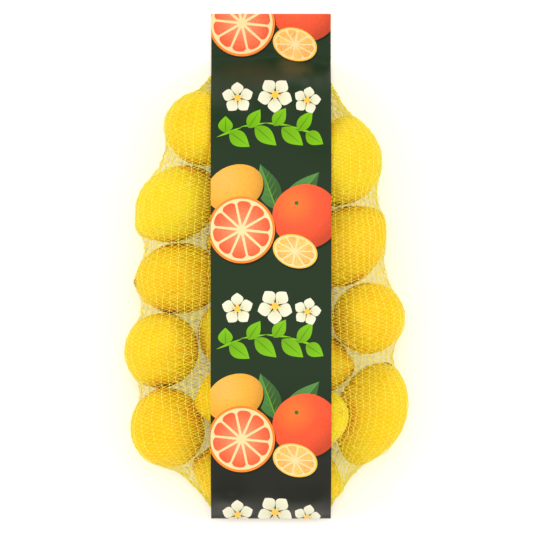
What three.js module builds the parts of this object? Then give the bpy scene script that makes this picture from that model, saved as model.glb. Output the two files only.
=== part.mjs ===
// A net of lemons, lying on its back: a knitted tube pulled tight over the fruit and welded at
// both ends between two films, a printed one in front and a plain one behind.
// Millimetres, +X to the right of the printed front, +Y up the band, +Z out of the printed front.
import * as THREE from "three";

// ---- Driving dimensions ----
const BAND_WIDTH = 90;
const BAND_LENGTH = 380;
const FILM = 0.5; // thickness of a film
const GAP = 0.35; // room between two pieces that lie on each other
const NET = 0.6; // how far the outside of the net stands off the fruit

const TOP_WELD_Y = 150; // the net ends here, and bare film goes on as a header
const TOP_WELD_HALF_WIDTH = 41;
const BOTTOM_WELD_Y = -187;
const BOTTOM_WELD_HALF_WIDTH = 42;
const BOTTOM_WELD_LIFT = 8; // the lower end is drawn up off the table by the fruit beside it
const LIFT_STARTS_Y = -160;
const WELD_HALF_HEIGHT = 0.6;

const NIPPLE = 4; // how far the pointed end stands out from the body of a lemon
const NIPPLE_SPREAD = 0.3; // radians from the long axis
const STEM_END = 1.2;
const STEM_SPREAD = 0.28;

// The net before it is pulled tight: a tube that swells by these half sizes between its welds.
const SLACK_HALF_WIDTH = 85;
const SLACK_HALF_HEIGHT = 48;
const SLACK_FULLNESS = 0.6; // under 1 the tube opens sooner after a weld

// ---- How finely the surfaces are divided ----
const ROWS = 60; // along the net
const COLUMNS = 48; // round the net
const TENSION_ALONG = 0.41; // the two tensions together stay under a half
const TENSION_ROUND = 0.08;
const NET_ROUNDS = 420;
const BAND_STRIPS = 6;
const BAND_STEPS = 58;
const BAND_ROUNDS = 60;
const BAND_STIFF = 0.3; // shares of a new height: the old one, along the band, across it
const BAND_ALONG = 0.5;
const BAND_ACROSS = 0.2;
const BACK_STEPS = 8; // along the part of the back film that curls up
const RASTER = 2; // grid on which the band is kept clear of the net
const RASTER_SLACK = 0.01; // share by which a spot may miss a triangle's edge
const CLOSE_SPOT = 0.2; // a spot this close to a corner of the band's grid lifts it outright
const BAND_CLEARANCE = 0.9;

// ---- The fruit ----
// at: centre across and up the band. half: half the length of the body along its long axis.
// girth: greatest radius round that axis. turn: direction of the nipple seen from the front,
// in degrees from +X. lean: how far the nipple points up, in degrees. Fruit rests on the back
// of the net unless height gives its centre.
const LEMONS = [
  // the column left of the band, from the top
  { at: [-50.5, 102.5], half: 29.5, girth: 28, turn: -20, lean: 30 },
  { at: [-70.5, 46.5], half: 32.5, girth: 27.2, turn: 217, lean: 3 },
  { at: [-69, -9.5], half: 31.5, girth: 26.5, turn: 6, lean: 0 },
  { at: [-82, -63.5], half: 30, girth: 27.5, turn: 60, lean: 50 },
  { at: [-77, -121.5], half: 30, girth: 28, turn: 100, lean: 25 },
  // the column right of the band
  { at: [53, 77.5], half: 32, girth: 30, turn: 80, lean: 8 },
  { at: [55.5, 14.5], half: 34.5, girth: 27.5, turn: 44, lean: 4 },
  { at: [73, -39], half: 30.5, girth: 27.2, turn: 200, lean: 72 },
  { at: [75, -109.5], half: 38, girth: 26, turn: 250, lean: 4 },
  // behind the band, showing beside its edges
  { at: [-28, -51], half: 28.5, girth: 26.5, turn: 100, lean: 35 },
  { at: [-26, -98.5], half: 28, girth: 26.5, turn: 190, lean: 10, height: 51 },
  { at: [-29.5, -155.5], half: 26, girth: 24.5, turn: 165, lean: 5 },
  { at: [31, -72.5], half: 28, girth: 24.5, turn: -8, lean: 5 },
  { at: [34.5, -113], half: 26, girth: 22.5, turn: 15, lean: 50, height: 55 },
  { at: [26, -158.5], half: 25, girth: 23.5, turn: -20, lean: 5 },
  // behind the band, out of sight but for a tip
  { at: [11, 114], half: 27, girth: 25, turn: 75, lean: 5 },
  { at: [-9.5, 65.5], half: 28.5, girth: 24.5, turn: 172, lean: 5 },
  { at: [-17, 17], half: 27.5, girth: 24.5, turn: 181, lean: 5 },
];

const clamp01 = (value) => Math.min(1, Math.max(0, value));

// The upper face of the back film at a height up the band.
function backFilmTop(y) {
  const rise = clamp01((LIFT_STARTS_Y - y) / (LIFT_STARTS_Y + BAND_LENGTH / 2));
  return FILM + BOTTOM_WELD_LIFT * rise * rise;
}

// The distance from a lemon's centre to its skin, at an angle to its long axis.
function reach(lemon, cosine) {
  const sine2 = 1 - cosine * cosine;
  const body = 1 / Math.sqrt(cosine ** 2 / lemon.half ** 2 + sine2 / lemon.girth ** 2);
  const angle = Math.acos(THREE.MathUtils.clamp(cosine, -1, 1));
  const nipple = NIPPLE * Math.exp(-((angle / NIPPLE_SPREAD) ** 2));
  const stem = STEM_END * Math.exp(-(((Math.PI - angle) / STEM_SPREAD) ** 2));
  return body + nipple + stem;
}

// A lemon with its long axis and centre worked out; one without a height rests on the net.
function laidLemon(lemon) {
  const turn = THREE.MathUtils.degToRad(lemon.turn);
  const lean = THREE.MathUtils.degToRad(lemon.lean);
  const axis = new THREE.Vector3(
    Math.cos(turn) * Math.cos(lean),
    Math.sin(turn) * Math.cos(lean),
    Math.sin(lean),
  );
  let height = lemon.height;
  if (height === undefined) {
    // The lowest point lies in the upright plane that holds the long axis.
    let depth = 0;
    for (let step = 0; step <= 360; step += 1) {
      const angle = (step / 360) * 2 * Math.PI;
      const cosine = Math.cos(angle) * Math.cos(lean) + Math.sin(angle) * Math.sin(lean);
      depth = Math.max(depth, -Math.sin(angle) * reach(lemon, cosine));
    }
    height = FILM + GAP + NET + depth;
  }
  const centre = new THREE.Vector3(lemon.at[0], lemon.at[1], height);
  const far = Math.max(lemon.half + NIPPLE, lemon.girth) + NET;
  return { ...lemon, axis, centre, far };
}

const fruit = LEMONS.map(laidLemon);

// Moves a point of the net out of the fruit and off the back film.
const offset = new THREE.Vector3();
function keepOutside(point) {
  for (const lemon of fruit) {
    offset.subVectors(point, lemon.centre);
    const distance = offset.length();
    if (distance < lemon.far) {
      const skin = reach(lemon, offset.dot(lemon.axis) / distance) + NET;
      if (distance < skin) {
        point.copy(lemon.centre).addScaledVector(offset, skin / distance);
      }
    }
  }
  point.z = Math.max(point.z, backFilmTop(point.y) + GAP);
}

// The slack net: a wide tube between the two flat welds.
function slackNet() {
  const rows = [];
  for (let row = 0; row <= ROWS; row += 1) {
    const along = row / ROWS;
    const open = Math.sin(Math.PI * along) ** SLACK_FULLNESS;
    const weld = THREE.MathUtils.lerp(BOTTOM_WELD_HALF_WIDTH, TOP_WELD_HALF_WIDTH, along);
    const y = THREE.MathUtils.lerp(BOTTOM_WELD_Y, TOP_WELD_Y, along);
    const halfWidth = weld + SLACK_HALF_WIDTH * open;
    const halfHeight = WELD_HALF_HEIGHT + SLACK_HALF_HEIGHT * open;
    const middle = backFilmTop(y) + GAP + halfHeight;
    const points = [];
    for (let column = 0; column < COLUMNS; column += 1) {
      const angle = (2 * Math.PI * column) / COLUMNS;
      const x = halfWidth * Math.cos(angle);
      const z = middle + halfHeight * Math.sin(angle);
      points.push(new THREE.Vector3(x, y, z));
    }
    rows.push(points);
  }
  return rows;
}

// Pulls the net tight over the fruit: every knot moves towards its four neighbours.
function tightNet() {
  let rows = slackNet();
  for (let round = 0; round < NET_ROUNDS; round += 1) {
    const next = rows.map((points) => points.map((point) => point.clone()));
    for (let row = 1; row < ROWS; row += 1) {
      for (let column = 0; column < COLUMNS; column += 1) {
        const left = rows[row][(column + COLUMNS - 1) % COLUMNS];
        const right = rows[row][(column + 1) % COLUMNS];
        const point = next[row][column];
        point.multiplyScalar(1 - 2 * TENSION_ALONG - 2 * TENSION_ROUND);
        point.addScaledVector(rows[row - 1][column], TENSION_ALONG);
        point.addScaledVector(rows[row + 1][column], TENSION_ALONG);
        point.addScaledVector(left, TENSION_ROUND).addScaledVector(right, TENSION_ROUND);
        keepOutside(point);
      }
    }
    rows = next;
  }
  return rows;
}

// A closed tube from rows of points, with a flat cap over each end row.
function tubeGeometry(rows) {
  const around = rows[0].length;
  const faces = [];
  const at = (row, column) => row * around + (column % around);
  for (let row = 0; row + 1 < rows.length; row += 1) {
    for (let column = 0; column < around; column += 1) {
      faces.push(at(row, column), at(row + 1, column + 1), at(row, column + 1));
      faces.push(at(row, column), at(row + 1, column), at(row + 1, column + 1));
    }
  }
  const last = rows.length - 1;
  for (let column = 0; column < around / 2; column += 1) {
    const mirror = around - column;
    if (column > 0) {
      faces.push(at(0, column), at(0, column + 1), at(0, mirror));
      faces.push(at(last, column), at(last, mirror), at(last, column + 1));
    }
    if (column + 1 < around / 2) {
      faces.push(at(0, column + 1), at(0, mirror - 1), at(0, mirror));
      faces.push(at(last, column + 1), at(last, mirror), at(last, mirror - 1));
    }
  }
  return solidGeometry(rows.flat(), faces);
}

function solidGeometry(points, faces) {
  const geometry = new THREE.BufferGeometry().setFromPoints(points);
  geometry.setIndex(faces);
  geometry.computeVertexNormals();
  return geometry;
}

// Spots on the net's front with their heights: what the printed film has to pass over.
function frontOfNet(rows) {
  const columns = Math.floor(BAND_WIDTH / RASTER) + 1;
  const heights = new Map();
  const triangle = new THREE.Triangle();
  const spot = new THREE.Vector3();
  const weights = new THREE.Vector3();
  const cover = (a, b, c) => {
    triangle.set(a, b, c);
    const flat = new THREE.Triangle(
      new THREE.Vector3(a.x, a.y, 0),
      new THREE.Vector3(b.x, b.y, 0),
      new THREE.Vector3(c.x, c.y, 0),
    );
    const box = new THREE.Box3().setFromPoints([a, b, c]);
    const left = Math.max(0, Math.ceil((box.min.x + BAND_WIDTH / 2) / RASTER));
    const right = Math.min(columns - 1, Math.floor((box.max.x + BAND_WIDTH / 2) / RASTER));
    for (let i = left; i <= right; i += 1) {
      for (let j = Math.ceil(box.min.y / RASTER); j <= box.max.y / RASTER; j += 1) {
        spot.set(i * RASTER - BAND_WIDTH / 2, j * RASTER, 0);
        const upright = flat.getBarycoord(spot, weights) === null;
        if (!upright && Math.min(weights.x, weights.y, weights.z) > -RASTER_SLACK) {
          const z = a.z * weights.x + b.z * weights.y + c.z * weights.z;
          const key = `${i},${j}`;
          if (!heights.has(key) || heights.get(key).z < z) {
            heights.set(key, new THREE.Vector3(spot.x, spot.y, z));
          }
        }
      }
    }
  };
  for (let row = 0; row < ROWS; row += 1) {
    for (let column = 0; column < COLUMNS; column += 1) {
      const across = (column + 1) % COLUMNS;
      cover(rows[row][column], rows[row][across], rows[row + 1][across]);
      cover(rows[row][column], rows[row + 1][across], rows[row + 1][column]);
    }
  }
  return [...heights.values()];
}

// The heights of a string drawn tight over a row of heights, from the first to the last.
function drawnTight(heights) {
  const kept = [];
  heights.forEach((height, step) => {
    while (kept.length > 1) {
      const [start, middle] = kept.slice(-2);
      const slope = (height - heights[start]) / (step - start);
      if (heights[middle] > heights[start] + slope * (middle - start)) {
        break;
      }
      kept.pop();
    }
    kept.push(step);
  });
  return heights.map((_, step) => {
    const next = Math.max(1, kept.findIndex((place) => place >= step));
    const [start, end] = [kept[next - 1], kept[next]];
    return THREE.MathUtils.mapLinear(step, start, end, heights[start], heights[end]);
  });
}

// The underside of the printed film: heights on a grid. The header lies flat, and the rest is
// drawn tight from the upper weld to the lower end, lifted wherever the net is in its way.
function tightBand(spots) {
  const bottom = -BAND_LENGTH / 2;
  const stepX = BAND_WIDTH / BAND_STRIPS;
  const stepY = BAND_LENGTH / BAND_STEPS;
  const lowest = (step) => {
    const y = bottom + step * stepY;
    const weld = Math.exp(-(((y - TOP_WELD_Y) / stepY) ** 2));
    return backFilmTop(y) + GAP + weld * (2 * WELD_HALF_HEIGHT + GAP);
  };
  const lastFree = Math.floor((TOP_WELD_Y - bottom) / stepY);
  const grid = [];
  for (let step = 0; step <= BAND_STEPS; step += 1) {
    grid.push(new Array(BAND_STRIPS + 1).fill(lowest(step)));
  }
  const cornersOf = (spot) => {
    const u = (spot.x + BAND_WIDTH / 2) / stepX;
    const v = (spot.y - bottom) / stepY;
    const strip = Math.min(BAND_STRIPS - 1, Math.floor(u));
    const step = Math.floor(v);
    return [
      [step, strip, (1 - (u - strip)) * (1 - (v - step))],
      [step, strip + 1, (u - strip) * (1 - (v - step))],
      [step + 1, strip, (1 - (u - strip)) * (v - step)],
      [step + 1, strip + 1, (u - strip) * (v - step)],
    ];
  };
  for (const spot of spots) {
    for (const [step, strip, weight] of cornersOf(spot)) {
      if (weight > CLOSE_SPOT) {
        grid[step][strip] = Math.max(grid[step][strip], spot.z);
      }
    }
  }
  for (let strip = 0; strip <= BAND_STRIPS; strip += 1) {
    const line = grid.slice(0, lastFree + 2).map((heights) => heights[strip]);
    drawnTight(line).forEach((height, step) => {
      grid[step][strip] = height;
    });
  }
  for (let round = 0; round < BAND_ROUNDS; round += 1) {
    const old = grid.map((line) => [...line]);
    for (let step = 1; step <= lastFree; step += 1) {
      for (let strip = 0; strip <= BAND_STRIPS; strip += 1) {
        const left = old[step][Math.max(0, strip - 1)];
        const right = old[step][Math.min(BAND_STRIPS, strip + 1)];
        const along = (old[step - 1][strip] + old[step + 1][strip]) / 2;
        const across = (left + right) / 2;
        const drawn = BAND_STIFF * old[step][strip] + BAND_ALONG * along + BAND_ACROSS * across;
        grid[step][strip] = Math.max(drawn, lowest(step));
      }
    }
    for (const spot of spots) {
      const corners = cornersOf(spot);
      let short = spot.z + BAND_CLEARANCE;
      let share = 0;
      for (const [step, strip, weight] of corners) {
        short -= weight * grid[step][strip];
        share += weight * weight;
      }
      if (short > 0) {
        for (const [step, strip, weight] of corners) {
          grid[step][strip] += (short * weight) / share;
        }
      }
    }
  }
  return grid;
}

// A film of even thickness from its underside: lines of points across it, from end to end.
function filmGeometry(lines) {
  const across = lines[0].length;
  const rings = lines.map((line) => {
    const upper = line.map((point) => new THREE.Vector3(point.x, point.y, point.z + FILM));
    return [...line.slice().reverse(), ...upper];
  });
  const points = rings.flat();
  const faces = [];
  const around = 2 * across;
  const at = (line, place) => line * around + (place % around);
  for (let line = 0; line + 1 < rings.length; line += 1) {
    for (let place = 0; place < around; place += 1) {
      // Both sides are folded along the same diagonals, so that the film is even between them.
      const [here, beside] = [at(line, place), at(line, place + 1)];
      const [above, aboveBeside] = [at(line + 1, place), at(line + 1, place + 1)];
      if (place < across) {
        faces.push(here, beside, above, beside, aboveBeside, above);
      } else {
        faces.push(here, beside, aboveBeside, here, aboveBeside, above);
      }
    }
  }
  const last = rings.length - 1;
  for (let place = 0; place + 1 < across; place += 1) {
    const mirror = around - 1 - place;
    faces.push(at(0, place), at(0, mirror), at(0, place + 1));
    faces.push(at(0, place + 1), at(0, mirror), at(0, mirror - 1));
    faces.push(at(last, place), at(last, place + 1), at(last, mirror));
    faces.push(at(last, place + 1), at(last, mirror - 1), at(last, mirror));
  }
  return solidGeometry(points, faces);
}

function frontBandGeometry(rows) {
  const grid = tightBand(frontOfNet(rows));
  const lines = grid.map((line, step) =>
    line.map((z, strip) => {
      const x = -BAND_WIDTH / 2 + (BAND_WIDTH * strip) / BAND_STRIPS;
      const y = -BAND_LENGTH / 2 + (BAND_LENGTH * step) / BAND_STEPS;
      return new THREE.Vector3(x, y, z);
    }),
  );
  return filmGeometry(lines);
}

function backBandGeometry() {
  const stations = [BAND_LENGTH / 2, LIFT_STARTS_Y];
  for (let step = 1; step <= BACK_STEPS; step += 1) {
    stations.push(THREE.MathUtils.lerp(LIFT_STARTS_Y, -BAND_LENGTH / 2, step / BACK_STEPS));
  }
  const lines = stations.reverse().map((y) => {
    const z = backFilmTop(y) - FILM;
    return [new THREE.Vector3(-BAND_WIDTH / 2, y, z), new THREE.Vector3(BAND_WIDTH / 2, y, z)];
  });
  return filmGeometry(lines);
}

// ---- The pieces ----
function piece(name, geometry, color, roughness) {
  const material = new THREE.MeshStandardMaterial({ color, roughness, metalness: 0 });
  const mesh = new THREE.Mesh(geometry, material);
  mesh.name = name;
  return mesh;
}

const net = tightNet();
const pack = new THREE.Group();
pack.add(piece("filled_net", tubeGeometry(net), 0xf4d430, 0.55));
pack.add(piece("front_band", frontBandGeometry(net), 0x2c4230, 0.35));
pack.add(piece("back_band", backBandGeometry(), 0x252d28, 0.4));

// The origin is under the middle of the whole pack, on the table.
const box = new THREE.Box3().setFromObject(pack);
pack.position.set(-(box.min.x + box.max.x) / 2, -(box.min.y + box.max.y) / 2, -box.min.z);

export default pack;
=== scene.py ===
# %% [markdown]
# # A net of lemons
# A grocer's net is one long knitted tube. It is filled with fruit, pulled tight, and welded at
# both ends between two strips of film: a printed one in front and a plain one behind. The pack
# lies on its back here, so we look down on the print. The solids of the pack are loaded first
# and stay as they are. Everything below is fitted round them.

import math

import bpy
import numpy as np
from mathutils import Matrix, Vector, kdtree
from mathutils.geometry import delaunay_2d_cdt


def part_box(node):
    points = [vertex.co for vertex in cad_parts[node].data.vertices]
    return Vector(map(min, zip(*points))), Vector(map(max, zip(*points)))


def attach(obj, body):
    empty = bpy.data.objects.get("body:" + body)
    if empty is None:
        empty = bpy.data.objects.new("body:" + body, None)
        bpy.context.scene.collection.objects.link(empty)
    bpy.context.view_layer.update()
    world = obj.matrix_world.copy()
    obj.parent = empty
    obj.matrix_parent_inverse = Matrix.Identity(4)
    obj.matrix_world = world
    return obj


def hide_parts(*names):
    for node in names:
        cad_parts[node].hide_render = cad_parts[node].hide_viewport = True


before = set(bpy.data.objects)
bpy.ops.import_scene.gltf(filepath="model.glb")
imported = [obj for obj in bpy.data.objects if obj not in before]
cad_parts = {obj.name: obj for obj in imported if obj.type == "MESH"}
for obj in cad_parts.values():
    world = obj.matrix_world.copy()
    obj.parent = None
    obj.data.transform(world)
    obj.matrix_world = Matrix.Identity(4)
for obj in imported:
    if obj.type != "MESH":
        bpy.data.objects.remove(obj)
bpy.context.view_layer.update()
print("solids:", sorted(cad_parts))

# %% [markdown]
# ## One ruler for everything
# A net maker measures in millimetres from the middle of the band. Blender wants metres from
# the frame's origin. One small function turns the first into the second, so that every list
# below can hold plain millimetres. The middle of the band comes from the solid itself.

# %% From millimetres to the frame
MM = 0.001
band_low, band_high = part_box("front_band")
HOME = np.array([(band_low.x + band_high.x) / 2, (band_low.y + band_high.y) / 2, 0.0])
BAND_WIDTH = (band_high.x - band_low.x) / MM
BAND_LENGTH = (band_high.y - band_low.y) / MM


def placed(points):
    """Millimetres from the middle of the band, turned into metres in the frame."""
    return np.asarray(points, float) * MM + HOME


def measured(points):
    """The other way round: metres in the frame, as millimetres from the band's middle."""
    return (np.asarray(points, float) - HOME) / MM


print("band", round(BAND_WIDTH, 1), "by", round(BAND_LENGTH, 1), "mm, middle at", HOME)

# %% [markdown]
# ## Meshes from arrays
# A net has tens of thousands of strands. Adding them one by one is slow, so each piece is
# worked out as arrays of points and faces, and handed to Blender in one go. A colour for each
# point can go with them, which the materials below read by name.


# %% A helper that builds a piece
def build_piece(name, points, faces, material, slot, crease=None, **colours):
    """A smooth mesh on the body "root". Faces are arrays with three or four columns.

    Edges sharper than crease, in degrees, stay sharp. Each colour is an array with a row for
    every point, or for every corner of every face.
    """
    mesh = bpy.data.meshes.new(name)
    corners = np.concatenate([face.ravel() for face in faces]).astype(np.int32)
    sizes = np.concatenate([np.full(len(face), face.shape[1]) for face in faces])
    starts = np.concatenate([[0], np.cumsum(sizes)[:-1]]).astype(np.int32)
    mesh.vertices.add(len(points))
    mesh.vertices.foreach_set("co", placed(points).ravel())
    mesh.loops.add(len(corners))
    mesh.loops.foreach_set("vertex_index", corners)
    mesh.polygons.add(len(starts))
    mesh.polygons.foreach_set("loop_start", starts)
    mesh.update(calc_edges=True)
    mesh.validate()
    mesh.shade_smooth()
    if crease:
        mesh.set_sharp_from_angle(angle=math.radians(crease))
    for title, values in colours.items():
        kind = "POINT" if len(values) == len(points) else "CORNER"
        layer = mesh.attributes.new(title, "FLOAT_COLOR", kind)
        rgba = np.ones((len(values), 4), np.float32)
        rgba[:, :3] = values
        layer.data.foreach_set("color", rgba.ravel())
    mesh.materials.append(material)
    piece = bpy.data.objects.new(name, mesh)
    bpy.context.scene.collection.objects.link(piece)
    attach(piece, "root")
    triangles = int((sizes - 2).sum())
    print(name, len(points), "points,", triangles, "triangles")
    return piece


def linear(*srgb):
    """A colour as seen on paper, 0 to 255, turned into the linear values that light uses."""
    value = np.asarray(srgb, float) / 255
    return np.where(value <= 0.04045, value / 12.92, ((value + 0.055) / 1.055) ** 2.4)


# %% [markdown]
# ## Materials as small recipes
# Each finish is a Principled shader with a few nodes in front of it. These helpers keep the
# recipes short: one makes the empty material, one adds a node and fills its sockets, and one
# adds fine relief. Places are read from the object's own coordinates, so the pattern stays on
# the piece whatever way we look at it.


# %% Helpers for materials
def new_material(name, roughness, **sockets):
    """A material with its Principled shader; the sockets are set on the shader itself."""
    material = bpy.data.materials.new(name)
    material.use_nodes = True
    shader = material.node_tree.nodes["Principled BSDF"]
    shader.inputs["Roughness"].default_value = roughness
    for socket, value in sockets.items():
        shader.inputs[socket.replace("_", " ")].default_value = value
    return material, shader


def add_node(material, kind, **sockets):
    """A node with its sockets set: a link where the value is another node's output."""
    node = material.node_tree.nodes.new("ShaderNode" + kind)
    for socket, value in sockets.items():
        target = node.inputs[int(socket[1:])] if socket[1:].isdigit() else node.inputs[socket]
        if isinstance(value, bpy.types.NodeSocket):
            material.node_tree.links.new(value, target)
        else:
            target.default_value = value
    return node


def own_place(material):
    return add_node(material, "TexCoord").outputs["Object"]


def mottle(material, size_mm, detail=3.0):
    """Soft blotches of about this size, from 0 to 1."""
    noise = add_node(material, "TexNoise", Vector=own_place(material))
    noise.inputs["Scale"].default_value = 1 / (size_mm * MM)
    noise.inputs["Detail"].default_value = detail
    return noise.outputs["Fac"]


def blend_colours(material, share, first, second):
    """A mix of two colours; each is a tuple or the output of another node."""
    mix = material.node_tree.nodes.new("ShaderNodeMix")
    mix.data_type = "RGBA"
    for socket, value in ((mix.inputs["Factor"], share), (mix.inputs[6], first), (mix.inputs[7], second)):
        if isinstance(value, bpy.types.NodeSocket):
            material.node_tree.links.new(value, socket)
        elif np.ndim(value):
            socket.default_value = (*value, 1)
        else:
            socket.default_value = value
    return mix.outputs[2]


def stretched(material, value, low, high, to_low=0.0, to_high=1.0):
    """A value moved from one range to another, and kept inside it."""
    remap = add_node(material, "MapRange", Value=value)
    for socket, number in (("From Min", low), ("From Max", high), ("To Min", to_low), ("To Max", to_high)):
        remap.inputs[socket].default_value = number
    return remap.outputs["Result"]


def add_relief(material, shader, height, depth_mm, strength=1.0):
    bump = add_node(material, "Bump", Height=height)
    bump.inputs["Distance"].default_value = depth_mm * MM
    bump.inputs["Strength"].default_value = strength
    material.node_tree.links.new(bump.outputs["Normal"], shader.inputs["Normal"])


def colour_of(material, title):
    attribute = add_node(material, "Attribute")
    attribute.attribute_name = title
    return attribute


# %% [markdown]
# ## The fruit
# Each lemon is an egg-shaped body with a pointed nipple at one end and a low shoulder round
# the stem at the other. No two are alike, and each lies its own way, so they are listed one by
# one: the centre across and up the band, half the body's length, the greatest radius, the way
# the nipple points seen from the front, how far it leans up, and a height where the lemon lies
# on others. The rest lie on the back of the net. A few are paler in themselves. On some lemons
# that lie in shade near the band, the paler peel is painted light that lifts that shade. A
# physics run could pile them up, but only a list puts each one where it should lie.

# %% The lemons as they lie
LEMONS = [
    # the column left of the band, from the top
    dict(at=(-50.5, 102.5), half=29.5, girth=28, turn=-20, lean=30, pale_and_lit=0.4),
    dict(at=(-70.5, 46.5), half=32.5, girth=27.2, turn=217, lean=3, pale_and_lit=1.0),
    dict(at=(-69, -9.5), half=31.5, girth=26.5, turn=6, lean=0),
    dict(at=(-82, -63.5), half=30, girth=27.5, turn=60, lean=50, pale_and_lit=0.4),
    dict(at=(-77, -121.5), half=30, girth=28, turn=100, lean=25),
    # the column right of the band
    dict(at=(53, 77.5), half=32, girth=30, turn=80, lean=8, pale_and_lit=0.7),
    dict(at=(55.5, 14.5), half=34.5, girth=27.5, turn=44, lean=4),
    dict(at=(73, -39), half=30.5, girth=27.2, turn=200, lean=72),
    dict(at=(75, -109.5), half=38, girth=26, turn=250, lean=4, pale_and_lit=0.5),
    # behind the band, showing beside its edges
    dict(at=(-28, -51), half=28.5, girth=26.5, turn=100, lean=35, pale_and_lit=1.0),
    dict(at=(-26, -98.5), half=28, girth=26.5, turn=190, lean=10, height=51),
    dict(at=(-29.5, -155.5), half=26, girth=24.5, turn=165, lean=5),
    dict(at=(31, -72.5), half=28, girth=24.5, turn=-8, lean=5),
    dict(at=(34.5, -113), half=26, girth=22.5, turn=15, lean=50, height=55, pale_and_lit=1.0),
    dict(at=(26, -158.5), half=25, girth=23.5, turn=-20, lean=5, pale_and_lit=0.6),
    # behind the band, out of sight but for a tip
    dict(at=(11, 114), half=27, girth=25, turn=75, lean=5),
    dict(at=(-9.5, 65.5), half=28.5, girth=24.5, turn=172, lean=5),
    dict(at=(-17, 17), half=27.5, girth=24.5, turn=181, lean=5),
]
NIPPLE, NIPPLE_SPREAD = 4.0, 0.3  # millimetres, radians from the long axis
STEM_END, STEM_SPREAD = 1.2, 0.28
FILM = 0.5  # thickness of a film's solid
GAP = 0.35  # between the back film and the net
NET = 0.6  # room that the net takes outside the skin
print(len(LEMONS), "lemons,", sum("height" in lemon for lemon in LEMONS), "of them on top of others")

# %% [markdown]
# ## The skin of a lemon
# The skin is given by its distance from the centre in any direction. An ellipse gives the body,
# and two soft bumps give the ends. On top come a few slow waves, different for each lemon,
# because real fruit is never turned on a lathe. The same function shapes the fruit and keeps
# the net outside it.

# %% Skin distance and resting height
WAVES, WAVE_PACE = 7, 2.1  # how many on each lemon, and how often a wave comes round
WAVE_DEPTH = 0.17  # millimetres
chance = np.random.default_rng(11)


def skin(lemon, ways, uneven=True):
    """The distance from the centre to the skin along unit directions."""
    along = np.clip(ways @ lemon["axis"], -1, 1)
    body = 1 / np.sqrt(along**2 / lemon["half"] ** 2 + (1 - along**2) / lemon["girth"] ** 2)
    angle = np.arccos(along)
    nipple = NIPPLE * np.exp(-((angle / NIPPLE_SPREAD) ** 2))
    stem = STEM_END * np.exp(-(((np.pi - angle) / STEM_SPREAD) ** 2))
    distance = body + nipple + stem
    if uneven:
        waves = np.sin(ways @ lemon["waves"].T + lemon["shifts"])
        distance = distance + WAVE_DEPTH * (waves.sum(axis=-1) - 1.0)
    return distance


def lay_down(lemon):
    """Works out a lemon's long axis and centre, and gives it its own waves."""
    turn, lean = math.radians(lemon["turn"]), math.radians(lemon["lean"])
    level = math.cos(lean)
    lemon["axis"] = np.array([math.cos(turn) * level, math.sin(turn) * level, math.sin(lean)])
    lemon["waves"] = chance.normal(0, WAVE_PACE, (WAVES, 3))
    lemon["shifts"] = chance.uniform(0, 2 * np.pi, WAVES)
    if "height" not in lemon:
        dip = np.radians(np.arange(361))
        ways = np.stack([np.cos(dip) * math.cos(turn), np.cos(dip) * math.sin(turn), -np.sin(dip)], 1)
        lemon["height"] = FILM + GAP + NET + (np.sin(dip) * skin(lemon, ways, uneven=False)).max()
    lemon["centre"] = np.array([*lemon["at"], lemon["height"]])


for lemon in LEMONS:
    lay_down(lemon)
print("lemon centres", [round(float(lemon["height"])) for lemon in LEMONS], "mm up")

# %% [markdown]
# ## Pulling the net tight
# A net finds its own shape. Every knot is pulled towards its four neighbours until the fruit
# stops it. That is how it is worked out here: a wide tube of points between the two welds is
# relaxed step by step, and each step pushes the points back out of the lemons and off the film
# underneath. It starts with a coarse tube, because that settles fast, and ends with a fine one
# that has a point for every knot. Blender's cloth could do it too, but this short loop is
# quick and gives the same net each time.

# %% Relax a coarse tube over the fruit
TOP_WELD_Y, TOP_WELD_HALF_WIDTH = 150, 41
BOTTOM_WELD_Y, BOTTOM_WELD_HALF_WIDTH = -187, 42
BOTTOM_WELD_LIFT = 8.0
LIFT_STARTS_Y = -160
WELD_HALF_HEIGHT = 0.6
PULL_ALONG, PULL_ROUND = 0.41, 0.08  # share of the way to the neighbours in one step
ROWS, COLUMNS = 60, 48
LOOSE_WIDTH, LOOSE_HEIGHT = 85, 48  # how far the loose tube stands off, at most
QUICK_OPENING = 0.6  # below 1, the tube opens fast beside the welds
COARSE_STEPS, FINE_STEPS = 420, 70


def back_film_top(y):
    """Height of the upper face of the back film, which curls up towards the lower weld."""
    rise = np.clip((LIFT_STARTS_Y - np.asarray(y, float)) / (LIFT_STARTS_Y + BAND_LENGTH / 2), 0, 1)
    return FILM + BOTTOM_WELD_LIFT * rise**2


def keep_outside(points, room, uneven=True):
    """Pushes points out of the fruit, and up off the back film."""
    places = points.reshape(-1, 3)
    for lemon in LEMONS:
        offset = places - lemon["centre"]
        distance = np.linalg.norm(offset, axis=1)
        near = distance < max(lemon["half"] + NIPPLE, lemon["girth"]) + room + 1
        ways = offset[near] / distance[near, None]
        reach = skin(lemon, ways, uneven) + room
        pushed = np.maximum(distance[near], reach)
        places[near] = lemon["centre"] + ways * pushed[:, None]
    places[:, 2] = np.maximum(places[:, 2], back_film_top(places[:, 1]) + GAP)
    return places.reshape(points.shape)


def pull_tight(rows, steps, room, uneven):
    """The rows after so many steps; the first and the last row are held in the welds."""
    for _ in range(steps):
        inner = rows[1:-1]
        moved = (1 - 2 * PULL_ALONG - 2 * PULL_ROUND) * inner
        moved += PULL_ALONG * (rows[:-2] + rows[2:])
        moved += PULL_ROUND * (np.roll(inner, 1, axis=1) + np.roll(inner, -1, axis=1))
        rows = np.concatenate([rows[:1], keep_outside(moved, room, uneven), rows[-1:]])
    return rows


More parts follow.
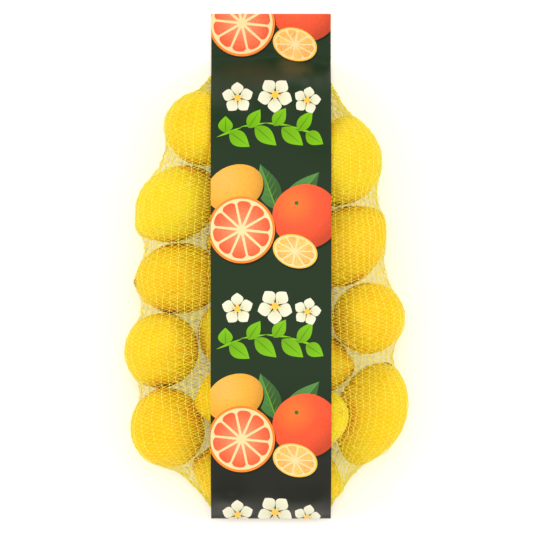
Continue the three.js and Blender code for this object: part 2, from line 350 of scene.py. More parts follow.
def loose_tube():
    """A wide tube round all the fruit, flat at both welds."""
    along = np.linspace(0, 1, ROWS + 1)[:, None]
    angle = (2 * np.pi * np.arange(COLUMNS) / COLUMNS)[None, :]
    opened = np.maximum(np.sin(np.pi * along), 0) ** QUICK_OPENING
    weld = BOTTOM_WELD_HALF_WIDTH + (TOP_WELD_HALF_WIDTH - BOTTOM_WELD_HALF_WIDTH) * along
    y = BOTTOM_WELD_Y + (TOP_WELD_Y - BOTTOM_WELD_Y) * along
    half_height = WELD_HALF_HEIGHT + LOOSE_HEIGHT * opened
    middle = back_film_top(y) + GAP + half_height
    x = (weld + LOOSE_WIDTH * opened) * np.cos(angle)
    z = middle + half_height * np.sin(angle)
    return np.stack([x, np.broadcast_to(y, x.shape), z], axis=-1)


coarse_net = pull_tight(loose_tube(), COARSE_STEPS, NET, uneven=False)
print("coarse net from", coarse_net.min(axis=(0, 1)).round(1), "to", coarse_net.max(axis=(0, 1)).round(1))

# %% [markdown]
# ## A point for every knot
# The knitting machine makes upright chains of stitches, called wales. Here they are about
# 5 mm apart, and 6.5 mm where the net is widest. Between two wales the yarns cross once in
# every course, and a course is about 2.5 mm high. The coarse tube is read off at that spacing
# and pulled tight once more, now over the true uneven skins.

# %% The fine net
COURSES, WALES = 160, 76
KNOT_ROOM = 0.35  # from the skin to the middle of a knot, in millimetres
UNEVEN_KNIT = 0.5  # how far a knot strays from its place
STRAY = (1, 0.8, 0.25)  # shares of that across, along and up


def read_off(rows, courses, wales):
    """The same surface on another grid; the columns run round and close on themselves."""
    u = np.linspace(0, len(rows) - 1, courses + 1)
    v = np.arange(wales) * rows.shape[1] / wales
    i = np.minimum(u.astype(int), len(rows) - 2)
    j = v.astype(int)
    s, t = (u - i)[:, None, None], (v - j)[None, :, None]
    right = (j + 1) % rows.shape[1]
    low = rows[i][:, j] * (1 - t) + rows[i][:, right] * t
    high = rows[i + 1][:, j] * (1 - t) + rows[i + 1][:, right] * t
    return low * (1 - s) + high * s


net = pull_tight(read_off(coarse_net, COURSES, WALES), FINE_STEPS, KNOT_ROOM, uneven=True)
net[2:-2] += chance.normal(0, UNEVEN_KNIT, net[2:-2].shape) * STRAY
net = keep_outside(net, KNOT_ROOM)
round_steps = np.linalg.norm(net - np.roll(net, 1, axis=1), axis=-1)
along_steps = np.linalg.norm(np.diff(net, axis=0), axis=-1)
print("wales", np.median(round_steps).round(2), "mm apart, courses", np.median(along_steps).round(2), "mm")

# %% [markdown]
# ## Yarn
# A yarn is a thin tube: a small ring swept along a row of points. A ring of three or four
# corners is enough at about half a millimetre, as smooth shading rounds it off. Curves
# with a round bevel would give the same tubes, but this sweep works on thousands of strands at
# once. The first axis of the array counts the strands, the second the points along each.


# %% Sweep many strands at once
def sweep(paths, outward, radius, sides):
    """Tubes along paths shaped (strands, points, 3), closed flat at both ends."""
    strands, count = paths.shape[:2]
    ahead = np.gradient(paths, axis=1)
    ahead /= np.linalg.norm(ahead, axis=-1, keepdims=True) + 1e-9
    side = np.cross(ahead, outward)
    side /= np.linalg.norm(side, axis=-1, keepdims=True) + 1e-9
    up = np.cross(side, ahead)
    angle = 2 * np.pi * (np.arange(sides) + 0.5) / sides
    ring = np.cos(angle)[:, None] * up[:, :, None] + np.sin(angle)[:, None] * side[:, :, None]
    radius = np.broadcast_to(radius, (strands, count))
    points = paths[:, :, None] + ring * radius[:, :, None, None]
    number = np.arange(strands * count * sides).reshape(strands, count, sides)
    here, there = number[:, :-1], number[:, 1:]
    quads = np.stack([here, np.roll(here, -1, 2), np.roll(there, -1, 2), there], axis=-1)
    first = number[:, 0, ::-1]
    last = number[:, -1]
    return points.reshape(-1, 3), [quads.reshape(-1, 4), first, last]


def outward_of(rows):
    """Unit normals of the net, pointing away from the fruit."""
    along = np.gradient(rows, axis=0)
    across = np.roll(rows, -1, axis=1) - np.roll(rows, 1, axis=1)
    normal = np.cross(along, across)
    return normal / (np.linalg.norm(normal, axis=-1, keepdims=True) + 1e-9)


outward = outward_of(net)
print(len(net), "rows of", net.shape[1], "knots, each with its way out")

# %% [markdown]
# ## The finish of the net
# The yarn is a pale yellow plastic with a slight shine, so it stands out as light lines on the
# peel. A little mottle between two yellows keeps it from looking like one colour.

# %% Net material
net_material, net_shader = new_material("yellow_net_yarn", 0.42, Specular_IOR_Level=0.2)
net_tone = stretched(net_material, mottle(net_material, 9), 0.3, 0.7)
net_colour = blend_colours(net_material, net_tone, linear(255, 246, 64), linear(255, 250, 100))
net_material.node_tree.links.new(net_colour, net_shader.inputs["Base Color"])
print("net finish:", net_material.name)

# %% [markdown]
# ## Wales
# Each wale is a chain of stitches: thick at every knot and thinner between. The tube follows
# one column of the net, with one extra ring between two knots for the thin place.

# %% Knit the wales
WALE_RADIUS = 0.24  # millimetres
THICK, THIN = 1.2, 0.8  # times the radius, at a knot and between two knots
between = (net[:-1] + net[1:]) / 2
between = keep_outside(between, KNOT_ROOM)
wale_points = np.empty((2 * COURSES + 1, WALES, 3))
wale_points[0::2], wale_points[1::2] = net, between
wale_outward = outward_of(wale_points)
wale_radii = np.where(np.arange(2 * COURSES + 1) % 2 == 0, THICK, THIN) * WALE_RADIUS
wale_mesh, wale_faces = sweep(
    wale_points.transpose(1, 0, 2), wale_outward.transpose(1, 0, 2), wale_radii[None, :], 4
)
wales = build_piece("net_wales", wale_mesh, wale_faces, net_material, "net")

# %% [markdown]
# ## Ties
# In every cell one yarn climbs to the right and one to the left, and they cross in the middle,
# one over the other. The front half and the back half of the tube are two pieces, so that none
# grows too heavy.


# %% Knit the ties between the wales
TIE_RADIUS = 0.165  # millimetres
OVER, UNDER = 1.0, -0.6  # times the radius, where a rising yarn crosses a falling one


def tie_strands(columns, rises):
    """Yarns from each wale to the next one, climbing one course (or dropping one)."""
    here = net[:, columns]
    there = net[:, (columns + 1) % WALES]
    normal = outward[:, columns]
    start = here[:-1] if rises else here[1:]
    end = there[1:] if rises else there[:-1]
    middle = (start + end) / 2
    middle += chance.normal(0, UNEVEN_KNIT / 2, middle.shape)
    lift = TIE_RADIUS * (OVER if rises else UNDER)
    middle = keep_outside(middle, KNOT_ROOM) + lift * normal[:-1]
    path = np.stack([start, middle, end], axis=2).reshape(-1, 3, 3)
    away = np.repeat(normal[:-1].reshape(-1, 1, 3), 3, axis=1)
    return path, away


def knit_ties(name, columns):
    rising, rising_out = tie_strands(columns, True)
    falling, falling_out = tie_strands(columns, False)
    paths = np.concatenate([rising, falling])
    away = np.concatenate([rising_out, falling_out])
    points, faces = sweep(paths, away, TIE_RADIUS, 3)
    return build_piece(name, points, faces, net_material, "net")


front_ties = knit_ties("net_ties_front", np.arange(WALES // 2))
back_ties = knit_ties("net_ties_back", np.arange(WALES // 2, WALES))

# %% [markdown]
# ## Peel
# Lemon peel is waxy and full of tiny oil glands, which are dimples a millimetre or two apart.
# Light spreads inside a lemon, red by centimetres and blue by less than a millimetre, so the
# shaded side glows a warm yellow. That is subsurface scattering, and one radius for each
# colour sets it. The peel is a clear yellow with deeper patches. Three numbers kept on each
# point change it: how near the point is to a tip, how pale that lemon is, and how close the
# next lemon is. The paler peel is partly the lemon's own tone and partly painted light on
# lemons in the band's shade. Closeness to the next lemon paints shade into the peel: a deep
# orange painted shade in the crevice between two lemons. The last number, cubed, is large
# only close to the contact itself, where the painted shade is dark brown.

# %% Peel material
# The last of these is the paler peel: partly the lemon's own tone, partly painted light.
RIPE, DEEP_RIPE, PALE_AND_LIT_PEEL = linear(243, 206, 5), linear(239, 193, 2), linear(238, 218, 34)
# Painted shade: deep orange in the crevices between lemons, dark brown at their contacts.
TIP_BROWN, CREVICE_SHADE_ORANGE, CONTACT_SHADE_BROWN = linear(172, 132, 40), linear(222, 72, 3), linear(96, 34, 6)
PATCH_SIZE, GLAND_SPACING, GLAND_DEPTH = 16, 1.5, 0.18  # millimetres
LIGHT_SPREAD, SPREAD_SHARES = 26, (1.0, 0.22, 0.03)  # millimetres; shares of red, green and blue
peel, peel_shader = new_material("lemon_peel", 0.5, Specular_IOR_Level=0.15)
peel_shader.inputs["Subsurface Weight"].default_value = 0.85
peel_shader.inputs["Subsurface Radius"].default_value = SPREAD_SHARES
peel_shader.inputs["Subsurface Scale"].default_value = LIGHT_SPREAD * MM
# Three numbers on each point: a tip's own colour, the paleness, and the painted crevice shade.
tone_and_painted_light = add_node(peel, "SeparateColor", Color=colour_of(peel, "ripeness").outputs["Color"])
tip_share, pale_and_lit_share, crevice_shade_share = tone_and_painted_light.outputs
deep_share = stretched(peel, mottle(peel, PATCH_SIZE), 0.35, 0.7)
# The painted shade, cubed, for the dark brown close to a contact.
contact_shade = add_node(peel, "Math", i0=crevice_shade_share, i1=3)
contact_shade.operation = "POWER"
peel_colour = blend_colours(peel, deep_share, RIPE, DEEP_RIPE)
# Paler peel, partly painted light on lemons in the band's shade.
peel_colour = blend_colours(peel, pale_and_lit_share, peel_colour, PALE_AND_LIT_PEEL)
peel_colour = blend_colours(peel, tip_share, peel_colour, TIP_BROWN)
# Painted shade between lemons: deep orange, then dark brown at the contact.
peel_colour = blend_colours(peel, crevice_shade_share, peel_colour, CREVICE_SHADE_ORANGE)
peel_colour = blend_colours(peel, contact_shade.outputs[0], peel_colour, CONTACT_SHADE_BROWN)
peel.node_tree.links.new(peel_colour, peel_shader.inputs["Base Color"])
glands = add_node(peel, "TexVoronoi", Vector=own_place(peel))
glands.inputs["Scale"].default_value = 1 / (GLAND_SPACING * MM)
glands.feature = "SMOOTH_F1"
add_relief(peel, peel_shader, glands.outputs["Distance"], GLAND_DEPTH, 0.7)
print("peel finish:", len(peel.node_tree.nodes), "nodes")

# %% [markdown]
# ## The lemons
# Each lemon is a ball of rings round its long axis, pushed out to its skin. All of them are
# one piece, as things that are many and alike should be. The two helpers, one for the faces of
# a ball and one that joins many bodies, serve the stem buttons too.


# %% Helpers for round bodies
def ball_faces(rings, spokes):
    """Quads between the rings, and triangles to the two end points that come after them."""
    number = np.arange(rings * spokes).reshape(rings, spokes)
    here, there = number[:-1], number[1:]
    quads = np.stack([here, there, np.roll(there, -1, 1), np.roll(here, -1, 1)], axis=-1)
    first, last = number[0], number[-1]
    top = np.stack([np.full(spokes, rings * spokes), first, np.roll(first, -1)], axis=-1)
    base = np.stack([np.full(spokes, rings * spokes + 1), np.roll(last, -1), last], axis=-1)
    return quads.reshape(-1, 4), np.concatenate([top, base])


def joined(parts):
    """The points and faces of one piece, from the points, quads and triangles of many bodies."""
    starts = np.cumsum([0] + [len(points) for points, _, _ in parts[:-1]])
    quads = [quads + start for (_, quads, _), start in zip(parts, starts)]
    caps = [caps + start for (_, _, caps), start in zip(parts, starts)]
    points = np.concatenate([points for points, _, _ in parts])
    return points, [np.concatenate(quads), np.concatenate(caps)]


# %% Grow the lemons
RINGS, SPOKES = 44, 60
TIP_ZONE = 0.03  # of the cosine of the angle from the long axis
# How far the painted shade between lemons reaches, and how strong it is at a contact.
CREVICE_SHADE_REACH = 12.0  # millimetres
FULL_TIP, FULL_CREVICE_SHADE = 0.4, 0.95  # the most that a tip or a contact changes the colour


def crevice_shade(lemon, points):
    """How much painted shade each point gets from the next lemon: 1 where they touch, 0 at the reach and
    beyond.
    """
    nearest = np.full(len(points), CREVICE_SHADE_REACH)
    for other in LEMONS:
        if other is lemon:
            continue
        offset = points - other["centre"]
        distance = np.linalg.norm(offset, axis=1)
        space = distance - skin(other, offset / distance[:, None])
        nearest = np.minimum(nearest, np.maximum(space, 0))
    return (1 - nearest / CREVICE_SHADE_REACH) ** 1.5


def grow(lemon):
    """One lemon's points, quads and triangles, and how near each point is to the long axis."""
    angle = np.linspace(0, np.pi, RINGS + 1)[1:-1, None]
    spin = (2 * np.pi * np.arange(SPOKES) / SPOKES)[None, :]
    axis = lemon["axis"]
    side = np.cross(axis, (0.3, 0.2, 0.93))
    side /= np.linalg.norm(side)
    other = np.cross(axis, side)
    ways = (
        np.cos(angle)[..., None] * axis
        + (np.sin(angle) * np.cos(spin))[..., None] * side
        + (np.sin(angle) * np.sin(spin))[..., None] * other
    ).reshape(-1, 3)
    ways = np.concatenate([ways, [axis, -axis]])
    points = lemon["centre"] + ways * skin(lemon, ways)[:, None]
    return (points, *ball_faces(RINGS - 1, SPOKES)), np.abs(ways @ axis)


lemon_parts, ripeness = [], []
for lemon in LEMONS:
    part, toward = grow(lemon)
    # The paleness is partly the lemon's own tone and partly painted light for lemons in the band's shade.
    pale_and_lit = np.full_like(toward, lemon.get("pale_and_lit", chance.uniform(0, 0.2)))
    tip = np.clip((toward - (1 - TIP_ZONE)) / TIP_ZONE, 0, 1) ** 2
    # Painted shade in the peel where the next lemon is close.
    painted_shade = crevice_shade(lemon, part[0])
    ripeness.append(np.stack([FULL_TIP * tip, pale_and_lit, FULL_CREVICE_SHADE * painted_shade], axis=1))
    lemon_parts.append(part)
lemons = build_piece(
    "lemons", *joined(lemon_parts), peel, "lemon_peel", ripeness=np.concatenate(ripeness)
)
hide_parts("filled_net")
for knitted in (wales, front_ties, back_ties):
    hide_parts("filled_net")

# %% [markdown]
# ## Stem buttons
# When a lemon is picked, the stem is cut and the small star-shaped calyx stays on the peel. It
# dries to a brown button. Each is a low dome with five blunt lobes, set on the stem end.

# %% Set the buttons on the stem ends
BUTTON_RADIUS, BUTTON_HEIGHT = 2.9, 0.9  # millimetres
BUTTON_SPOKES = 25
BUTTON_RINGS = ((0.25, 0.55), (0.5, 1.0), (0.85, 0.8), (1.0, 0.1), (0.8, -1.5))  # shares of those two
FOOT_DEPTH = 1.5  # how far the underside reaches into the peel
CROWN = 0.3  # share of the height in the middle, a hollow where the stem was cut
LOBES, LOBE_DEPTH, RAGGED = 5, 0.2, 0.03
button_skin, button_shader = new_material("dry_calyx", 0.7, Specular_IOR_Level=0.15)
button_tone = stretched(button_skin, mottle(button_skin, 1.5), 0.35, 0.65)
button_colour = blend_colours(button_skin, button_tone, linear(104, 78, 34), linear(150, 122, 58))
button_skin.node_tree.links.new(button_colour, button_shader.inputs["Base Color"])


def button(lemon):
    """A lobed dome at the stem end, closed underneath inside the peel."""
    axis = -lemon["axis"]
    side = np.cross(axis, (0.2, 0.9, 0.3))
    side /= np.linalg.norm(side)
    other = np.cross(axis, side)
    spin = 2 * np.pi * np.arange(BUTTON_SPOKES) / BUTTON_SPOKES
    lobes = 1 + LOBE_DEPTH * np.cos(LOBES * spin + chance.uniform(0, 6))
    lobes += chance.normal(0, RAGGED, BUTTON_SPOKES)
    ring = np.cos(spin)[:, None] * side + np.sin(spin)[:, None] * other
    points = []
    for share, rise in BUTTON_RINGS:
        out = BUTTON_RADIUS * share * lobes[:, None] * ring
        way = axis * lemon["half"] + out
        way /= np.linalg.norm(way, axis=1, keepdims=True)
        points.append(lemon["centre"] + way * (skin(lemon, way) + BUTTON_HEIGHT * rise)[:, None])
    stem_end = skin(lemon, axis[None])[0]
    foot = lemon["centre"] + axis * (stem_end - FOOT_DEPTH)
    crown = lemon["centre"] + axis * (stem_end + CROWN * BUTTON_HEIGHT)
    points = np.concatenate([*points, [crown, foot]])
    return points, *ball_faces(len(BUTTON_RINGS), BUTTON_SPOKES)


buttons = build_piece(
    "stem_buttons", *joined([button(lemon) for lemon in LEMONS]), button_skin, "lemon_peel"
)
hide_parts("filled_net")

# %% [markdown]
# ## The printed film
# The front film is drawn tight over the fruit and bridges the gaps between the lemons. A sheet
# shrunk onto them would sink into those gaps. So its height is read from the solid, on the
# grid on which the solid was made, and a smooth curve through those heights gives the fine
# surface. A few shallow pleats run in from the upper weld, where the net is gathered.

# %% Read the film's height from its solid
PLEATS_Y, PLEATS_REACH, PLEAT_DEPTH = 138, 14, 0.35  # millimetres
PLEAT_PACE, PLEAT_DRIFT = 0.62, 0.21  # radians in a millimetre
film_points = measured([vertex.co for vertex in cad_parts["front_band"].data.vertices])
across = np.unique(film_points[:, 0].round(2))
up_band = np.unique(film_points[:, 1].round(2))
heights = np.full((len(up_band), len(across)), -1.0)
rows_of = np.abs(film_points[:, 1][:, None] - up_band).argmin(1)
columns_of = np.abs(film_points[:, 0][:, None] - across).argmin(1)
np.maximum.at(heights, (rows_of, columns_of), film_points[:, 2])
print("film grid", heights.shape, "highest", heights.max().round(1), "mm")


def curve_weights(t):
    """How much the four points round a place count on a smooth curve through them."""
    return np.stack(
        [
            -0.5 * t + t**2 - 0.5 * t**3,
            1 - 2.5 * t**2 + 1.5 * t**3,
            0.5 * t + 2 * t**2 - 1.5 * t**3,
            -0.5 * t**2 + 0.5 * t**3,
        ]
    )


def film_height(x, y):
    """Height of the front film's upper face."""
    u = np.clip((x - across[0]) / (across[1] - across[0]), 0, len(across) - 1)
    v = np.clip((y - up_band[0]) / (up_band[1] - up_band[0]), 0, len(up_band) - 1)
    i = np.minimum(v.astype(int), len(up_band) - 2)
    j = np.minimum(u.astype(int), len(across) - 2)
    along, sideways = curve_weights(v - i), curve_weights(u - j)
    total = np.zeros(np.shape(x))
    for a in range(4):
        for b in range(4):
            row = np.clip(i + a - 1, 0, len(up_band) - 1)
            column = np.clip(j + b - 1, 0, len(across) - 1)
            total += along[a] * sideways[b] * heights[row, column]
    near_weld = np.exp(-(((y - PLEATS_Y) / PLEATS_REACH) ** 2))
    pleats = np.sin(x * PLEAT_PACE + 0.4 * np.sin(x * PLEAT_DRIFT))
    return total + PLEAT_DEPTH * (near_weld * pleats)


# %% [markdown]
# ## Film as a material
# The printed film takes its colours from the print, which is stored on the corners of its
# faces, so that a shape ends sharply where its outline runs. Printed pictures of fruit have a
# fine grain, of peel or of pulp. A second colour says where it is and how strong. The plain
# film behind is dark all over. Both have a satin shine.

# %% Film materials
printed, printed_shader = new_material("printed_film", 0.42, Specular_IOR_Level=0.12)
FINE_GRAIN, RIPPLE, BACK_BLOTCH = 0.9, 14, 20  # sizes in millimetres
RIPPLE_DEPTH = 0.2
grain = stretched(printed, mottle(printed, FINE_GRAIN, 2.0), 0.3, 0.7, 0.72, 1.22)
grain_share = add_node(printed, "SeparateColor", Color=colour_of(printed, "grain").outputs["Color"])
plain_ink = colour_of(printed, "ink").outputs["Color"]
grained_ink = add_node(printed, "VectorMath", i0=plain_ink)
grained_ink.operation = "SCALE"
printed.node_tree.links.new(grain, grained_ink.inputs["Scale"])
print_colour = blend_colours(printed, grain_share.outputs[0], plain_ink, grained_ink.outputs["Vector"])
printed.node_tree.links.new(print_colour, printed_shader.inputs["Base Color"])
add_relief(printed, printed_shader, mottle(printed, RIPPLE, 2.0), RIPPLE_DEPTH, 0.4)

plain, plain_shader = new_material("plain_back_film", 0.45, Specular_IOR_Level=0.22)
plain_tone = stretched(plain, mottle(plain, BACK_BLOTCH), 0.3, 0.7)
plain_colour = blend_colours(plain, plain_tone, linear(34, 46, 36), linear(40, 53, 42))
plain.node_tree.links.new(plain_colour, plain_shader.inputs["Base Color"])
print("film finishes:", printed.name, "and", plain.name)

# %% [markdown]
# ## The print
# A printer lays flat shapes over each other, from the bottom up. An image could be wrapped on
# the film, but shapes stay sharp from any distance. Each one here is an outline in millimetres
# with a paint: a rule that gives a colour for any place, so that a fruit can be round and a
# leaf can have a light half. The picture of cut fruit and the sprig of blossom have a function
# each, so that they can be repeated up the band.

# %% Outlines and paints
DEEP_GREEN, LOW_GREEN = linear(29, 51, 32), linear(32, 36, 33)
CORAL, ORANGE, PEACH = linear(253, 96, 62), linear(252, 138, 52), linear(253, 186, 96)
YELLOW, PITH, WHITE = linear(253, 198, 78), linear(252, 222, 172), linear(238, 238, 230)
LIME, LEAF = linear(122, 196, 22), linear(72, 122, 66)
OUTLINE_STEP = 1.5  # millimetres between the points of an outline
shapes = []


def turned(points, degrees):
    """Points turned about the origin, against the clock."""
    c, s = math.cos(math.radians(degrees)), math.sin(math.radians(degrees))
    return np.asarray(points) @ np.array([[c, s], [-s, c]])


def draw(outline, paint, grain=0.0):
    """Adds a shape on top of those drawn so far; grain says how much of the fine grain it has."""
    shapes.append((np.asarray(outline, float), paint, grain))


def flat(colour):
    return lambda p: np.broadcast_to(colour, (len(p), 3))


def fade(p, start, end, first, second, power=1.0):
    """From one colour to another with the distance from start."""
    share = np.linalg.norm(p - np.asarray(start), axis=1) / np.linalg.norm(np.subtract(end, start))
    share = np.clip(share, 0, 1)[:, None] ** power
    return first * (1 - share) + second * share


def oval(centre, radii, degrees=0.0):
    count = max(14, int(2 * math.pi * max(radii) / OUTLINE_STEP))
    angle = 2 * np.pi * np.arange(count) / count
    return turned(np.stack([radii[0] * np.cos(angle), radii[1] * np.sin(angle)], 1), degrees) + centre


def blade(base, tip, width, fullness=0.8):
    """A leaf or petal: pointed at both ends, widest nearer the base when fullness is low."""
    base, tip = np.asarray(base, float), np.asarray(tip, float)
    count = max(4, int(np.linalg.norm(tip - base) / OUTLINE_STEP))
    along = np.linspace(0, 1, count + 1)
    half = width / 2 * np.sin(np.pi * along**fullness)
    side = np.array([base[1] - tip[1], tip[0] - base[0]]) / np.linalg.norm(tip - base)
    line = base + along[:, None] * (tip - base)
    there = line + half[:, None] * side
    back = line - half[:, None] * side
    return np.concatenate([there, back[-2:0:-1]])


# %% [markdown]
# ## Fruit and flowers for the printer
# A slice of citrus is a disc of rind, a smaller disc of pith, and ten rounded wedges of pulp.
# A whole fruit is one oval whose colour fades away from the light. Both stand off the ground
# by a dark copy underneath. A leaf has a light and a dark half and pale veins. A blossom has
# five petals round a yellow heart.


# %% Motifs
PITH_SHARE, PULP_SHARE, CORE_SHARE = 0.93, 0.86, 0.13  # of the radius of a slice
WEDGE_SHARE = 0.87  # of the room that each wedge has


def cast_shadow(outline):
    """A dark copy a little lower, so that a fruit stands off what lies behind it."""
    draw(np.asarray(outline) + (0.8, -1.6), flat(0.45 * DEEP_GREEN))


def slice_of_fruit(centre, radius, rind, pulp, degrees, squash=1.0, tilt=0.0, wedges=10):
    """A slice with wedges of pulp; squash and tilt show it lying at a slant."""

    def at(points):
        return turned(turned(points, degrees) * (1, squash), tilt) + centre

    cast_shadow(at(oval((0, 0), (radius, radius))))
    draw(at(oval((0, 0), (radius, radius))), flat(rind), 0.5)
    draw(at(oval((0, 0), (PITH_SHARE * radius, PITH_SHARE * radius))), flat(PITH))
    spread = math.pi / wedges * WEDGE_SHARE
    for wedge in range(wedges):
        s = np.linspace(-1, 1, 9)
        reach = PULP_SHARE * radius * (1 - 0.09 * s**4)
        arc = np.stack([reach * np.cos(spread * s), reach * np.sin(spread * s)], 1)
        outline = turned(np.concatenate([[(CORE_SHARE * radius, 0)], arc]), 360 / wedges * wedge)
        tone = pulp * (0.94 + 0.1 * (wedge % 3))
        edge = at([(PULP_SHARE * radius, 0)])[0]
        draw(at(outline), lambda p, t=tone, e=edge: fade(p, centre, e, 0.45 * t + 0.55 * PITH, t, 0.6), 1.0)


def whole_fruit(centre, radii, degrees, lit, deep):
    """An oval that is bright towards the upper left and deep towards its far edge."""
    size = max(radii)
    light = np.asarray(centre) + (-0.35 * radii[0], 0.4 * radii[1])
    turn, dark = light + (0.55 * size, -0.4 * size), light + (1.1 * size, -0.8 * size)

    def shaded(p):
        edge = fade(p, light, dark, np.ones(3), np.full(3, 0.55), 2.5)
        return fade(p, light, turn, lit, deep, 1.1) * edge

    outline = oval(centre, radii, degrees)
    cast_shadow(outline)
    draw(outline, shaded, 0.45)


def picture_leaf(base, tip, width):
    base, tip = np.asarray(base, float), np.asarray(tip, float)
    way = (tip - base) / np.linalg.norm(tip - base)
    side = np.array([-way[1], way[0]])

    def halves(p):
        light = ((p - base) @ side > 0)[:, None]
        return fade(p, base, tip, 0.55 * LEAF, LEAF) * np.where(light, 1.45, 0.75)

    draw(blade(base, tip, width), halves, 0.25)
    draw(blade(base, tip, 0.9, 0.6), flat(0.5 * LEAF + 0.5 * LIME))
    for share in np.arange(0.15, 0.8, 0.13):
        start = base + share * (tip - base)
        reach = 0.4 * width * math.sin(math.pi * share**0.8)
        for lean in (1, -1):
            end = start + reach * (way + lean * side)
            draw(blade(start, end, 0.45, 0.6), flat(0.75 * LEAF + 0.25 * LIME))


def blossom(centre, radius, degrees):
    for petal in range(5):
        way = turned([(1, 0)], degrees + 72 * petal)[0]
        base, tip = np.asarray(centre) + 0.1 * radius * way, np.asarray(centre) + radius * way
        draw(
            blade(base, tip, 0.78 * radius, 1.25),
            lambda p, b=base, t=tip: fade(p, b, t, 0.55 * LIME + 0.4 * WHITE, WHITE, 0.5),
        )
    draw(oval(centre, (0.2 * radius, 0.2 * radius)), flat(YELLOW))
    for dot in range(7):
        way = turned([(0.3 * radius, 0)], degrees + 51 * dot)[0]
        draw(oval(np.asarray(centre) + way, (0.5, 0.5)), flat(ORANGE))


def cut_fruit_picture(y):
    """Slices and whole fruit lying together, about 90 mm wide and 80 mm high."""
    picture_leaf((4, y + 6), (-8, y + 40), 17)
    picture_leaf((10, y + 4), (36, y + 34), 18)
    whole_fruit((-27, y + 22), (22, 17), 24, PEACH, 0.75 * YELLOW + 0.25 * ORANGE)
    whole_fruit((26, y + 1), (25, 24), 0, 0.6 * ORANGE + 0.4 * CORAL, CORAL)
    draw(oval((19, y + 11), (1.6, 1.6)), flat(0.8 * LEAF))
    slice_of_fruit((-22, y - 9), 25, ORANGE, CORAL, 12)
    slice_of_fruit((18, y - 25), 17, YELLOW, PEACH, 5, squash=0.72, tilt=-18)


def blossom_sprig(y):
    """White blossoms over lime leaves, about 76 mm wide and 52 mm high."""
    stem = [(-40, y - 19), (-22, y - 11), (-4, y - 8), (14, y - 10), (34, y - 17)]
    for start, end in zip(stem[:-1], stem[1:]):
        draw(blade(np.subtract(start, (1, 0)), np.add(end, (1, 0)), 1.7, 1.0), flat(LIME))
    leaves = [(-34, -34, -3, 11), (-31, -16, -26, 12), (-17, -8, 2, 10), (-12, 4, -25, 12)]
    leaves += [(2, 11, 3, 10), (8, 24, -25, 12), (20, 31, 1, 10), (26, 39, -24, 11)]
    for foot, tip_x, tip_y, width in leaves:
        base = (foot, y - 9 - abs(foot + 4) * 0.22)
        tip = (tip_x, y + tip_y)
        draw(blade(base, tip, width), lambda p, b=base, t=tip: fade(p, b, t, 0.7 * LIME, LIME))
        draw(blade(base, tip, 0.7, 0.6), flat(0.45 * LIME))
    blossom((-25, y + 11), 12, 20)
    blossom((3, y + 13), 13.5, 52)
    blossom((27, y + 9), 10.5, 5)


PICTURES_Y, SPRIGS_Y = (192, 36, -120), (115, -43, -198)
for picture_y in PICTURES_Y:
    cut_fruit_picture(picture_y)
for sprig_y in SPRIGS_Y:
    blossom_sprig(sprig_y)
print(len(shapes), "printed shapes")

# %% [markdown]
# ## Cutting the printed film
# To make the print part of the film, every outline is drawn into a fine grid, and the whole is
# cut into triangles that never cross an outline. Each triangle then belongs to the topmost
# shape that covers it. The flat sheet is lifted to the film's height, given a thickness, and
# closed round its edge.

# %% Cut the grid along the outlines
half_width, half_length = BAND_WIDTH / 2, BAND_LENGTH / 2
GRID_X, GRID_Y = 60, 240
ROOM_ROUND_OUTLINE = 0.6  # a grid point nearer than this to an outline is left out
FRONT_THICKNESS, BACK_THICKNESS = 0.2, 0.45  # millimetres


def inside(points, outline):
    """Which points lie within a closed outline, by counting crossings to the right."""
    hit = np.zeros(len(points), bool)
    near = np.flatnonzero(((points > outline.min(0)) & (points < outline.max(0))).all(1))
    x, y = points[near, 0][:, None], points[near, 1][:, None]
    x0, y0 = outline.T
    x1, y1 = np.roll(outline, -1, 0).T
    spans = (y0 > y) != (y1 > y)
    with np.errstate(divide="ignore", invalid="ignore"):
        crossing = x0 + (y - y0) * (x1 - x0) / (y1 - y0) > x
    hit[near] = (spans & crossing).sum(1) % 2 == 1
    return hit


def cut_sheet():
    """Corners and triangles of the flat sheet, with the outlines of all the shapes in it."""
    i, j = np.meshgrid(np.arange(GRID_X + 1), np.arange(GRID_Y + 1), indexing="ij")
    grid = np.stack([i / GRID_X * 2 - 1, j / GRID_Y * 2 - 1], -1).reshape(-1, 2)
    grid *= (half_width, half_length)
    on_rim = ((i % GRID_X == 0) | (j % GRID_Y == 0)).ravel()
    drawn = np.concatenate([outline for outline, _, _ in shapes])
    tree = kdtree.KDTree(len(drawn))
    for number, (x, y) in enumerate(drawn):
        tree.insert((x, y, 0), number)
    tree.balance()
    keep = [rim or tree.find((x, y, 0))[2] > ROOM_ROUND_OUTLINE for (x, y), rim in zip(grid, on_rim)]
    points = [Vector(place) for place in grid[keep]]
    corner = [(-1, -1), (1, -1), (1, 1), (-1, 1)]
    first = len(points)
    points += [Vector((half_width * a, half_length * b)) for a, b in corner]
    edges = [(first + k, first + (k + 1) % 4) for k in range(4)]
    for outline, _, _ in shapes:
        first, count = len(points), len(outline)
        points += [Vector(place) for place in outline]
        edges += [(first + k, first + (k + 1) % count) for k in range(count)]
    found = delaunay_2d_cdt(points, edges, [], 0, 1e-4, False)
    corners, triangles = np.array(found[0]), np.array(found[2])
    middle = corners[triangles].mean(1)
    within = (np.abs(middle) < (half_width, half_length)).all(1)
    used, triangles = np.unique(triangles[within], return_inverse=True)
    return corners[used], triangles.reshape(-1, 3)


sheet, triangles = cut_sheet()
print("sheet cut into", len(triangles), "triangles")

# %% [markdown]
# ## Inking the film
# The ground is dark green, a little greyer towards the lower end. Then the shapes are gone
# through in the order of printing, and each inks the triangles inside its outline.

